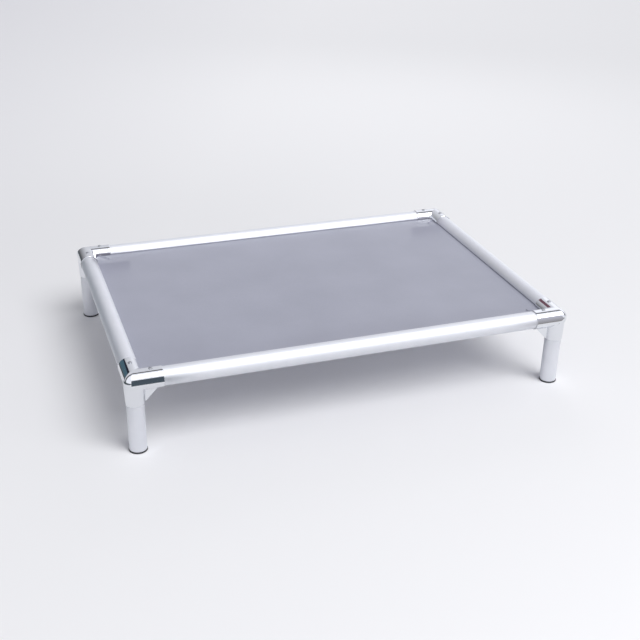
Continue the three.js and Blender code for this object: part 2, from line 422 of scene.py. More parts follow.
def add_node(
    tree: NodeTree, kind: str, inputs: Mapping[str | int, Any] | None = None, **settings: Any
) -> Node:
    """Adds one node to a tree.

    Args:
        tree: the tree that it goes in.
        kind: the node's type.
        inputs: for each input, by name or number, its value or the socket that feeds it.
        settings: the node's own settings.

    Returns:
        The new node.
    """
    made = tree.nodes.new(kind)
    for name, value in settings.items():
        setattr(made, name, value)
    for key, value in (inputs or {}).items():
        if isinstance(value, NodeSocket):
            tree.links.new(value, made.inputs[key])
        else:
            made.inputs[key].default_value = value
    return made


def blank_material(name: str) -> tuple[Material, NodeTree]:
    """A new material with an empty node tree.

    Args:
        name: the material's name.

    Returns:
        The material and its tree.
    """
    material = bpy.data.materials.new(name)
    material.use_nodes = True
    material.node_tree.nodes.clear()
    return material, material.node_tree


@dataclass(frozen=True)
class AnodisedAluminium:
    """Extruded aluminium tube, satin anodised: a bright soft metal with faint die lines along the draw."""

    direction: str
    colour: str = "#E9EAEE"
    shade: str = "#DFE1E6"
    roughness: float = 0.6
    # Die lines stand about a millimetre apart and run for about half a metre.
    line_spacing: float = 1.1
    line_run: float = 420.0
    line_depth: float = 0.006
    # Anodising dye and handling leave a mottle a few centimetres across.
    mottle_size: float = 45.0

    def material(self) -> Material:
        """Builds the finish, with its lines along one axis.

        Returns:
            The material.
        """
        material, tree = blank_material(f"anodised_aluminium_{self.direction.lower()}")
        place = add_node(tree, "ShaderNodeTexCoord").outputs["Object"]
        along = 1 / (self.line_run * MM)
        across = 1 / (self.line_spacing * MM)
        stretch = [along if axis == self.direction else across for axis in "XYZ"]
        drawn = add_node(tree, "ShaderNodeMapping", {"Vector": place, "Scale": stretch})
        lines = add_node(
            tree,
            "ShaderNodeTexNoise",
            {"Vector": drawn.outputs["Vector"], "Scale": 1.0, "Detail": 3.0, "Roughness": 0.6},
        ).outputs["Fac"]
        mottle = add_node(
            tree,
            "ShaderNodeTexNoise",
            {"Vector": place, "Scale": 1 / (self.mottle_size * MM), "Detail": 4.0, "Roughness": 0.55},
        ).outputs["Fac"]
        worn = add_node(
            tree,
            "ShaderNodeMath",
            {0: lines, 1: mottle},
            operation="ADD",
        ).outputs["Value"]
        gloss = add_node(
            tree,
            "ShaderNodeMapRange",
            {
                "Value": worn,
                "From Min": 0.6,
                "From Max": 1.4,
                "To Min": self.roughness - 0.05,
                "To Max": self.roughness + 0.07,
            },
        ).outputs["Result"]
        colour = add_node(
            tree,
            "ShaderNodeMix",
            {0: mottle, 6: linear(self.colour), 7: linear(self.shade)},
            data_type="RGBA",
        ).outputs[2]
        relief = add_node(
            tree,
            "ShaderNodeBump",
            {"Height": lines, "Strength": 0.6, "Distance": self.line_depth * MM},
        ).outputs["Normal"]
        shader = add_node(
            tree,
            "ShaderNodeBsdfPrincipled",
            {"Base Color": colour, "Metallic": 1.0, "Roughness": gloss, "Normal": relief},
        )
        add_node(tree, "ShaderNodeOutputMaterial", {"Surface": shader.outputs["BSDF"]})
        return material


@dataclass(frozen=True)
class PolishedCasting:
    """Die-cast metal, polished and chrome plated: a mirror with the slight waves of a cast skin."""

    colour: str = "#E4E6EA"
    roughness: float = 0.05
    # Buffing leaves waves about a centimetre long and a few microns deep.
    wave_size: float = 9.0
    wave_depth: float = 0.02
    # Fine buffing marks, half a millimetre apart.
    mark_size: float = 0.5

    def material(self) -> Material:
        """Builds the finish.

        Returns:
            The material.
        """
        material, tree = blank_material("chrome_plated_casting")
        place = add_node(tree, "ShaderNodeTexCoord").outputs["Object"]
        waves = add_node(
            tree,
            "ShaderNodeTexNoise",
            {"Vector": place, "Scale": 1 / (self.wave_size * MM), "Detail": 1.0, "Roughness": 0.4},
        ).outputs["Fac"]
        marks = add_node(
            tree,
            "ShaderNodeTexNoise",
            {"Vector": place, "Scale": 1 / (self.mark_size * MM), "Detail": 2.0, "Roughness": 0.5},
        ).outputs["Fac"]
        gloss = add_node(
            tree,
            "ShaderNodeMapRange",
            {
                "Value": marks,
                "From Min": 0.3,
                "From Max": 0.7,
                "To Min": self.roughness - 0.02,
                "To Max": self.roughness + 0.04,
            },
        ).outputs["Result"]
        relief = add_node(
            tree,
            "ShaderNodeBump",
            {"Height": waves, "Strength": 0.5, "Distance": self.wave_depth * MM},
        ).outputs["Normal"]
        shader = add_node(
            tree,
            "ShaderNodeBsdfPrincipled",
            {"Base Color": linear(self.colour), "Metallic": 1.0, "Roughness": gloss, "Normal": relief},
        )
        add_node(tree, "ShaderNodeOutputMaterial", {"Surface": shader.outputs["BSDF"]})
        return material


@dataclass(frozen=True)
class CoatedCloth:
    """PVC-coated polyester, plain woven: the threads show softly through a semi-gloss grey skin."""

    colour: str = "#A5A7B6"
    thread: str = "#9B9DAC"
    roughness: float = 0.36
    # A heavy coated cloth has about 18 threads to the inch.
    thread_spacing: float = 1.4
    thread_depth: float = 0.07
    # The coating's own grain, and the slow changes of tone of a knife-coated sheet.
    grain_size: float = 2.6
    cloud_size: float = 130.0

    def material(self) -> Material:
        """Builds the finish, with its threads along X and Y.

        Returns:
            The material.
        """
        material, tree = blank_material("coated_woven_cloth")
        place = add_node(tree, "ShaderNodeTexCoord").outputs["Object"]
        parts = add_node(tree, "ShaderNodeSeparateXYZ", {"Vector": place})
        per_thread = math.pi / (self.thread_spacing * MM)
        waves = []
        for axis in "XY":
            angle = add_node(
                tree, "ShaderNodeMath", {0: parts.outputs[axis], 1: per_thread}, operation="MULTIPLY"
            )
            wave = add_node(tree, "ShaderNodeMath", {0: angle.outputs["Value"]}, operation="SINE")
            waves.append(wave.outputs["Value"])
        crossing = add_node(tree, "ShaderNodeMath", {0: waves[0], 1: waves[1]}, operation="MULTIPLY")
        over = add_node(
            tree,
            "ShaderNodeMapRange",
            {"Value": crossing.outputs["Value"], "From Min": -0.12, "From Max": 0.12},
        )
        crowns = [
            add_node(tree, "ShaderNodeMath", {0: wave}, operation="ABSOLUTE").outputs["Value"]
            for wave in waves
        ]
        threads = add_node(
            tree,
            "ShaderNodeMix",
            {0: over.outputs["Result"], 2: crowns[0], 3: crowns[1]},
            data_type="FLOAT",
        ).outputs[0]
        grain = add_node(
            tree,
            "ShaderNodeTexNoise",
            {"Vector": place, "Scale": 1 / (self.grain_size * MM), "Detail": 3.0, "Roughness": 0.6},
        ).outputs["Fac"]
        clouds = add_node(
            tree,
            "ShaderNodeTexNoise",
            {"Vector": place, "Scale": 1 / (self.cloud_size * MM), "Detail": 3.0, "Roughness": 0.5},
        ).outputs["Fac"]
        height = add_node(
            tree,
            "ShaderNodeMath",
            {0: grain, 1: 0.5, 2: threads},
            operation="MULTIPLY_ADD",
        ).outputs["Value"]
        relief = add_node(
            tree,
            "ShaderNodeBump",
            {"Height": height, "Strength": 0.35, "Distance": self.thread_depth * MM},
        ).outputs["Normal"]
        tone = add_node(
            tree,
            "ShaderNodeMath",
            {0: grain, 1: clouds},
            operation="ADD",
        ).outputs["Value"]
        share = add_node(
            tree,
            "ShaderNodeMapRange",
            {"Value": tone, "From Min": 0.7, "From Max": 1.3},
        ).outputs["Result"]
        colour = add_node(
            tree,
            "ShaderNodeMix",
            {0: share, 6: linear(self.thread), 7: linear(self.colour)},
            data_type="RGBA",
        ).outputs[2]
        gloss = add_node(
            tree,
            "ShaderNodeMapRange",
            {
                "Value": grain,
                "From Min": 0.3,
                "From Max": 0.7,
                "To Min": self.roughness - 0.04,
                "To Max": self.roughness + 0.06,
            },
        ).outputs["Result"]
        shader = add_node(
            tree,
            "ShaderNodeBsdfPrincipled",
            {"Base Color": colour, "Roughness": gloss, "IOR": 1.53, "Normal": relief},
        )
        add_node(tree, "ShaderNodeOutputMaterial", {"Surface": shader.outputs["BSDF"]})
        return material


@dataclass(frozen=True)
class MouldedRubber:
    """Moulded black rubber: a dull skin with the fine grain of its mould."""

    colour: str = "#1B1C20"
    worn: str = "#2A2B30"
    roughness: float = 0.62
    grain_size: float = 0.5
    grain_depth: float = 0.03

    def material(self) -> Material:
        """Builds the finish.

        Returns:
            The material.
        """
        material, tree = blank_material("moulded_black_rubber")
        place = add_node(tree, "ShaderNodeTexCoord").outputs["Object"]
        grain = add_node(
            tree,
            "ShaderNodeTexNoise",
            {"Vector": place, "Scale": 1 / (self.grain_size * MM), "Detail": 2.0, "Roughness": 0.5},
        ).outputs["Fac"]
        dust = add_node(
            tree,
            "ShaderNodeTexNoise",
            {"Vector": place, "Scale": 1 / (12 * self.grain_size * MM), "Detail": 4.0, "Roughness": 0.6},
        ).outputs["Fac"]
        colour = add_node(
            tree,
            "ShaderNodeMix",
            {0: dust, 6: linear(self.colour), 7: linear(self.worn)},
            data_type="RGBA",
        ).outputs[2]
        gloss = add_node(
            tree,
            "ShaderNodeMapRange",
            {"Value": dust, "To Min": self.roughness - 0.08, "To Max": self.roughness + 0.12},
        ).outputs["Result"]
        relief = add_node(
            tree,
            "ShaderNodeBump",
            {"Height": grain, "Strength": 0.5, "Distance": self.grain_depth * MM},
        ).outputs["Normal"]
        shader = add_node(
            tree,
            "ShaderNodeBsdfPrincipled",
            {"Base Color": colour, "Roughness": gloss, "IOR": 1.52, "Normal": relief},
        )
        add_node(tree, "ShaderNodeOutputMaterial", {"Surface": shader.outputs["BSDF"]})
        return material


@dataclass(frozen=True)
class ExtrudedPlastic:
    """Extruded polyethylene rod: dark and waxy, with draw lines a millimetre or so apart."""

    colour: str = "#26272B"
    shade: str = "#303137"
    roughness: float = 0.48
    line_spacing: float = 0.8
    line_depth: float = 0.02

    def material(self) -> Material:
        """Builds the finish.

        Returns:
            The material.
        """
        material, tree = blank_material("extruded_plastic_rod")
        place = add_node(tree, "ShaderNodeTexCoord").outputs["Object"]
        lines = add_node(
            tree,
            "ShaderNodeTexNoise",
            {"Vector": place, "Scale": 1 / (self.line_spacing * MM), "Detail": 2.0, "Roughness": 0.5},
        ).outputs["Fac"]
        colour = add_node(
            tree,
            "ShaderNodeMix",
            {0: lines, 6: linear(self.colour), 7: linear(self.shade)},
            data_type="RGBA",
        ).outputs[2]
        relief = add_node(
            tree,
            "ShaderNodeBump",
            {"Height": lines, "Strength": 0.4, "Distance": self.line_depth * MM},
        ).outputs["Normal"]
        shader = add_node(
            tree,
            "ShaderNodeBsdfPrincipled",
            {"Base Color": colour, "Roughness": self.roughness, "IOR": 1.51, "Normal": relief},
        )
        add_node(tree, "ShaderNodeOutputMaterial", {"Surface": shader.outputs["BSDF"]})
        return material


@dataclass(frozen=True)
class PlatedSteel:
    """Zinc-plated steel screw: a grey metal, a little uneven where the plating pooled."""

    colour: str = "#C4C6CB"
    shade: str = "#A2A4AA"
    roughness: float = 0.27
    patch_size: float = 1.6

    def material(self) -> Material:
        """Builds the finish.

        Returns:
            The material.
        """
        material, tree = blank_material("zinc_plated_steel")
        place = add_node(tree, "ShaderNodeTexCoord").outputs["Object"]
        patches = add_node(
            tree,
            "ShaderNodeTexNoise",
            {"Vector": place, "Scale": 1 / (self.patch_size * MM), "Detail": 3.0, "Roughness": 0.6},
        ).outputs["Fac"]
        colour = add_node(
            tree,
            "ShaderNodeMix",
            {0: patches, 6: linear(self.colour), 7: linear(self.shade)},
            data_type="RGBA",
        ).outputs[2]
        gloss = add_node(
            tree,
            "ShaderNodeMapRange",
            {"Value": patches, "To Min": self.roughness - 0.08, "To Max": self.roughness + 0.1},
        ).outputs["Result"]
        shader = add_node(
            tree,
            "ShaderNodeBsdfPrincipled",
            {"Base Color": colour, "Metallic": 1.0, "Roughness": gloss},
        )
        add_node(tree, "ShaderNodeOutputMaterial", {"Surface": shader.outputs["BSDF"]})
        return material


# ---- Frame pieces ----


@dataclass
class RailExtrusion:
    """One rail: a round tube that is slotted along its inner side, where the cloth goes in."""

    side: Side
    plan: BedPlan
    finish: Material
    radius: float = 19.0
    wall: float = 2.0
    slot_low: float = -1.0
    slot_high: float = 5.0
    end_gap: float = 21.4
    lip_round: float = 0.45
    screw_reach: float = 33.0
    screw_hole: float = 2.3
    sleeve_cover: float = 50.0

    def build(self) -> Object:
        """Draws the section, extrudes it, gives it its wall, and drills it.

        Returns:
            The finished rail.
        """
        half = self.plan.span(self.side) / 2
        length = 2 * (half - self.end_gap)
        rail = self._slotted_section(-length / 2)
        with editing(rail, Element.EDGE):
            extrude((length, 0, 0))
            bpy.ops.mesh.select_all(action="SELECT")
            bpy.ops.mesh.normals_make_consistent(inside=False)
        self._face_outwards(rail)
        modify(rail, "SOLIDIFY", thickness=self.wall * MM, offset=-1, use_even_offset=True)
        modify(
            rail,
            "BEVEL",
            limit_method="ANGLE",
            angle_limit=math.radians(50),
            width=self.lip_round * MM,
            segments=3,
        )
        self._ring_under_sleeves(rail, half - self.sleeve_cover)
        for x in (self.screw_reach - half, half - self.screw_reach):
            bit = bar(self.screw_hole, self.radius - 2 * self.wall, self.radius + 1, 32)
            drill = moved(bit, at=(x, 0, 0))
            combine(rail, drill, "DIFFERENCE")
        quarter = 90 * self.side.value
        place = Matrix.Rotation(math.radians(quarter), 3, "Z") @ Vector((0, -self.plan.reach(self.side), 0))
        moved(rail, (0, 0, quarter), (place.x, place.y, self.plan.rail_height))
        return hand_over(
            rail, f"{self.side.label}_rail_extrusion", self.finish, f"{self.side.label}_rail"
        )

    def _slotted_section(self, x: float) -> Object:
        """The outer circle of the section at one end, open where the slot is.

        Args:
            x: where the end is, in millimetres.

        Returns:
            The outline.
        """
        deselect_all()
        bpy.ops.mesh.primitive_circle_add(
            vertices=TUBE_STEPS,
            radius=self.radius * MM,
            location=(x * MM, 0, 0),
            rotation=(0, math.pi / 2, 0),
        )
        section = moved_as_placed(bpy.context.object)
        with editing(section):
            for height in (self.slot_low, self.slot_high):
                bpy.ops.mesh.select_all(action="SELECT")
                bpy.ops.mesh.bisect(plane_co=(0, 0, height * MM), plane_no=(0, 0, 1))
            pick(
                section,
                Element.EDGE,
                lambda middle: middle.y > 0 and self.slot_low < middle.z < self.slot_high,
            )
            bpy.ops.mesh.delete(type="EDGE")
        return section

    def _face_outwards(self, rail: Object) -> None:
        """Turns the open tube's faces outwards, so that its wall grows inwards.

        Args:
            rail: the tube.
        """
        face = rail.data.polygons[0]
        outwards = Vector((0, face.center.y, face.center.z))
        if face.normal.dot(outwards) < 0:
            with editing(rail, Element.FACE):
                bpy.ops.mesh.flip_normals()

    def _ring_under_sleeves(self, rail: Object, x: float) -> None:
        """Cuts the long faces across under the sleeves, so that the drilled holes stay in short ones."""
        with editing(rail):
            for place in (-x, x):
                bpy.ops.mesh.select_all(action="SELECT")
                bpy.ops.mesh.bisect(plane_co=(place * MM, 0, 0), plane_no=(1, 0, 0))


@dataclass
class LegTube:
    """One leg: a plain tube that stands in its socket, with its lower edge eased and bright."""

    corner: Corner
    plan: BedPlan
    finish: Material
    radius: float = 17.8
    wall: float = 2.0
    bottom: float = 3.3
    top_gap: float = 0.3
    ease: float = 0.7
    screw_drop: float = 40.0
    screw_hole: float = 2.3

    def build(self) -> Object:
        """Turns the tube, rings it inside its socket, and drills it on its inward side.

        Returns:
            The finished leg.
        """
        inner = self.radius - self.wall
        top = self.plan.rail_height - self.top_gap
        tube = turned(
            [
                (inner, self.bottom),
                (self.radius - self.ease, self.bottom),
                (self.radius - 0.3 * self.ease, self.bottom + 0.3 * self.ease),
                (self.radius, self.bottom + self.ease),
                (self.radius, top),
                (inner, top),
                (inner, self.bottom),
            ]
        )
        height = self.plan.rail_height - self.screw_drop
        with editing(tube):
            bpy.ops.mesh.bisect(plane_co=(0, 0, (height - 6) * MM), plane_no=(0, 0, 1))
        drill = bar(self.screw_hole, inner - 1, self.radius + 1, 32)
        combine(tube, moved(moved(drill, (0, 90, 0)), (0, 0, 45), (0, 0, height)), "DIFFERENCE")
        sign_x, sign_y = self.corner.signs
        moved(
            tube,
            (0, 0, 90 * self.corner.value),
            (sign_x * self.plan.long_span / 2, sign_y * self.plan.short_span / 2, 0),
        )
        label = self.corner.label
        return hand_over(tube, f"{label}_leg_tube", self.finish, f"{label}_leg")


@dataclass
class RubberFoot:
    """One foot: a flange under the leg, hollow under its middle, and a ribbed plug inside the tube."""

    corner: Corner
    plan: BedPlan
    finish: Material
    flange_radius: float = 18.6
    flange: float = 3.0
    plug_radius: float = 15.5
    plug_wall: float = 2.4
    plug_length: float = 18.0
    tread_recess: float = 0.6

    def build(self) -> Object:
        """Turns the foot from one outline.

        Returns:
            The finished foot.
        """
        rim, plug, top = self.flange_radius, self.plug_radius, self.flange + self.plug_length
        core = plug - self.plug_wall
        ribs = [
            point
            for height in (self.flange + 4, self.flange + 9, self.flange + 14)
            for point in (
                (plug - 0.5, height - 1.2),
                (plug, height - 0.5),
                (plug, height + 0.5),
                (plug - 0.5, height + 1.2),
            )
        ]
        foot = turned(
            [
                (0, self.tread_recess),
                (9.4, self.tread_recess),
                (10, 0),
                (rim - 1.1, 0),
                (rim - 0.5, 0.15),
                (rim - 0.15, 0.5),
                (rim, 1),
                (rim, self.flange - 0.4),
                (rim - 0.12, self.flange - 0.12),
                (rim - 0.4, self.flange),
                (plug - 0.5, self.flange),
                *ribs,
                (plug - 0.5, top - 0.6),
                (plug - 1.1, top),
                (core, top),
                (core, self.flange),
                (0, self.flange),
            ]
        )
        sign_x, sign_y = self.corner.signs
        moved(foot, at=(sign_x * self.plan.long_span / 2, sign_y * self.plan.short_span / 2, 0))
        label = self.corner.label
        return hand_over(foot, f"{label}_rubber_foot", self.finish, f"{label}_foot")


@dataclass
class CornerCasting:
    """One cast corner: a sleeve over each rail, a socket over the leg, and a web under each sleeve.

    It is modelled about the point where its three axes cross, with its sleeves along +X and +Y.
    """

    plan: BedPlan
    finish: Material
    sleeve_radius: float = 21.0
    sleeve_bore: float = 19.3
    sleeve_reach: float = 56.0
    bore_start: float = 21.1
    elbow_fullness: float = 2.0
    socket_bore: float = 18.1
    socket_depth: float = 50.0
    socket_top: float = 20.7
    socket_mouth: float = 19.4
    web_thickness: float = 5.0
    web_top_reach: float = 47.5
    web_mouth_margin: float = 0.5
    slot_low: float = -1.0
    slot_high: float = 5.0
    slot_start: float = 21.7
    hollow_radius: float = 15.5
    rail_screw_reach: float = 33.0
    leg_screw_drop: float = 40.0
    head_seat: float = 20.6
    leg_head_seat: float = 19.26
    seat_radius: float = 4.3
    screw_hole: float = 2.3
    edge_round: float = 0.6
    mouth_ease: float = 0.35
    # The cast skin is meshed this finely, and smoothed, so that its inside corners are soft as cast ones are.
    skin_cell: float = 0.72
    skin_passes: int = 3
    _model: Object | None = field(default=None, init=False)

    def build(self, corner: Corner) -> Object:
        """Puts a copy of the modelled casting on a corner.

        Args:
            corner: where it goes.

        Returns:
            The corner's casting.
        """
        if self._model is None:
            self._model = self._casting()
        sign_x, sign_y = corner.signs
        casting = moved(
            copy_of(self._model),
            (0, 0, 90 * corner.value),
            (sign_x * self.plan.long_span / 2, sign_y * self.plan.short_span / 2, self.plan.rail_height),
        )
        return hand_over(
            casting, f"{corner.label}_casting", self.finish, f"{corner.label}_corner"
        )

    def put_away(self) -> None:
        """Removes the modelled casting once its copies are made."""
        if self._model is not None:
            bpy.data.objects.remove(self._model)
            self._model = None

    def _casting(self) -> Object:
        """The skin with everything cut from it.

        Returns:
            The casting.
        """
        casting = self._skin()
        combine(casting, self._cuts(), "DIFFERENCE")
        return casting

    def _skin(self) -> Object:
        """The outside of the casting, as one smooth closed skin.

        Returns:
            The skin.
        """
        skin = joined(
            [
                moved(self._sleeve(), (0, 90, 0)),
                moved(self._sleeve(), (-90, 0, 0)),
                self._socket(),
                self._web(),
                moved(self._web(), (0, 0, 90)),
                self._elbow(),
            ]
        )
        modify(skin, "REMESH", mode="VOXEL", voxel_size=self.skin_cell * MM)
        modify(skin, "SMOOTH", factor=0.5, iterations=self.skin_passes)
        return skin

    def _sleeve(self) -> Object:
        """A sleeve's outside along Z, with its mouth's edge rounded."""
        radius, reach, ease = self.sleeve_radius, self.sleeve_reach, self.edge_round
        return turned(
            [
                (0, 0),
                (radius, 0),
                (radius, reach - ease),
                (radius - 0.3 * ease, reach - 0.3 * ease),
                (radius - ease, reach),
                (0, reach),
            ],
            2 * TUBE_STEPS,
        )

    def _socket(self) -> Object:
        """The socket's outside, which narrows a little towards its mouth."""
        mouth, ease = self.socket_mouth, self.edge_round
        return turned(
            [
                (0, -self.socket_depth),
                (mouth - ease, -self.socket_depth),
                (mouth - 0.3 * ease, 0.3 * ease - self.socket_depth),
                (mouth, ease - self.socket_depth),
                (self.socket_top, 0),
                (0, 0),
            ],
            2 * TUBE_STEPS,
        )

    def _web(self) -> Object:
        """The web under the sleeve along X, drawn as a plate and thickened.

        Returns:
            The web.
        """
        mouth = self.web_mouth_margin - self.socket_depth
        half = self.web_thickness / 2
        points = [
            (0, -half, -2),
            (0, -half, mouth),
            (self.socket_mouth, -half, mouth),
            (self.web_top_reach, -half, -(self.sleeve_bore + self.sleeve_radius) / 2),
            (self.web_top_reach, -half, -2),
        ]
        web = draw(points)
        with editing(web):
            bpy.ops.mesh.edge_face_add()
            extrude((0, self.web_thickness, 0))
        close_up(web)
        modify(web, "BEVEL", width=1.1 * MM, segments=3)
        return web

    def _elbow(self) -> Object:
        """The elbow: two crossed bars, rounded off by a flattened ball.

        Returns:
            The elbow.
        """
        full = self.sleeve_radius + self.elbow_fullness
        deselect_all()
        bpy.ops.mesh.primitive_uv_sphere_add(
            segments=2 * TUBE_STEPS,
            ring_count=TUBE_STEPS,
            radius=1,
            scale=(full * MM, full * MM, self.sleeve_radius * MM),
        )
        elbow = moved_as_placed(bpy.context.object)
        for turn in ((0, 90, 0), (90, 0, 0)):
            across = moved(bar(self.sleeve_radius, -full, full, 2 * TUBE_STEPS), turn)
            combine(elbow, across, "INTERSECT")
        return elbow

    def _cuts(self) -> Object:
        """All that is cut from the skin, as one tool.

        Returns:
            The tool.
        """
        tool = self._sleeve_cuts()
        combine(tool, self._mirrored(self._sleeve_cuts()), "UNION")
        for cutter in self._socket_cuts():
            combine(tool, cutter, "UNION")
        return tool

    def _mirrored(self, cutter: Object) -> Object:
        """The same cuts for the other sleeve: reflected in the plane between the two."""
        cutter.data.transform(Matrix(((0, 1, 0, 0), (1, 0, 0, 0), (0, 0, 1, 0), (0, 0, 0, 1))))
        return close_up(cutter)

    def _sleeve_cuts(self) -> Object:
        """The rail's bore along X, the cloth's slot, and a screw's hole and seat.

        Returns:
            The tool.
        """
        radius, reach, ease = self.sleeve_bore, self.sleeve_reach, self.mouth_ease
        bore = turned(
            [
                (0, self.bore_start),
                (radius, self.bore_start),
                (radius, reach - ease),
                (radius + ease, reach),
                (radius + ease, reach + 1),
                (0, reach + 1),
            ]
        )
        tool = moved(bore, (0, 90, 0))
        slot = block(
            (self.slot_start, radius - 3, self.slot_low), (reach + 1, self.sleeve_radius + 1, self.slot_high)
        )
        combine(tool, slot, "UNION")
        for drill in self._screw_cuts(self.head_seat):
            combine(tool, moved(drill, at=(self.rail_screw_reach, 0, 0)), "UNION")
        return tool

    def _socket_cuts(self) -> list[Object]:
        """The leg's bore, the hollow over it, and the hole and seat of its screw.

        Returns:
            The tools, one for each cut.
        """
        radius, depth, ease = self.socket_bore, self.socket_depth, self.mouth_ease
        bore = turned(
            [
                (0, -depth - 1),
                (radius + ease, -depth - 1),
                (radius + ease, -depth),
                (radius, ease - depth),
                (radius, 0),
                (0, 0),
            ]
        )
        hollow_top = math.sqrt(self.sleeve_bore**2 - self.hollow_radius**2)
        cutters = [bore, bar(self.hollow_radius, -1, hollow_top)]
        for drill in self._screw_cuts(self.leg_head_seat):
            cutters.append(moved(moved(drill, (0, 90, 0)), (0, 0, 45), (0, 0, -self.leg_screw_drop)))
        return cutters

    def _screw_cuts(self, seat: float) -> list[Object]:
        """A screw's hole and the flat seat of its head, along Z."""
        outside = self.sleeve_radius + 1
        return [
            bar(self.screw_hole, self.hollow_radius - 0.2, outside, 32),
            bar(self.seat_radius, seat, outside, 48),
        ]


@dataclass
class PanScrew:
    """A pan head screw with a cross recess: its head's underside is at its origin."""

    finish: Material
    shank_radius: float = 2.0
    length: float = 10.0
    head_radius: float = 4.0
    head_height: float = 1.86
    recess_reach: float = 2.3
    recess_width: float = 1.15
    recess_depth: float = 1.2
    _model: Object | None = field(default=None, init=False)

    def build(self, name: str, node: str, turn: Sequence[float], spin: float, at: Sequence[float]) -> Object:
        """Puts a copy of the modelled screw in its place.

        Args:
            name: the piece's name.
            node: the CAD node that it stands for.
            turn: degrees about X, Y and Z that aim it.
            spin: degrees about its own axis, as the driver left it.
            at: millimetres along X, Y and Z.

        Returns:
            The screw.
        """
        if self._model is None:
            self._model = self._screw()
        screw = moved(moved(copy_of(self._model), (0, 0, spin)), turn, at)
        return hand_over(screw, name, self.finish, node)

    def put_away(self) -> None:
        """Removes the modelled screw once its copies are made."""
        if self._model is not None:
            bpy.data.objects.remove(self._model)
            self._model = None

    def _screw(self) -> Object:
        """The turned blank with its recess cut.

        Returns:
            The screw.
        """
        shank, head, top = self.shank_radius, self.head_radius, self.head_height
        blank = turned(
            [
                (0, -self.length),
                (0.5 * shank, 0.5 - self.length),
                (shank, 2 - self.length),
                (shank, 0),
                (head, 0),
                (head, 0.3 * top),
                (0.96 * head, 0.52 * top),
                (0.87 * head, 0.7 * top),
                (0.72 * head, 0.85 * top),
                (0.5 * head, 0.95 * top),
                (0.25 * head, 0.99 * top),
                (0, top),
            ],
            48,
        )
        for across in (False, True):
            combine(blank, self._recess_arm(across), "DIFFERENCE")
        return blank

    def _recess_arm(self, across: bool) -> Object:
        """One arm of the cross recess, narrower at its floor.

        Args:
            across: whether the arm lies along Y.

        Returns:
            The arm, as a tool.
        """
        long, wide = self.recess_reach, self.recess_width / 2
        x, y = (wide, long) if across else (long, wide)
        floor = self.head_height - self.recess_depth
        arm = block((-x, -y, floor), (x, y, self.head_height + 1))
        with editing(arm, Element.FACE):
            pick(arm, Element.FACE, lambda middle: middle.z < floor + 0.1)
            bpy.ops.transform.resize(value=(0.72, 0.72, 1), center_override=(0, 0, floor * MM))
        return arm


# ---- Cloth ----


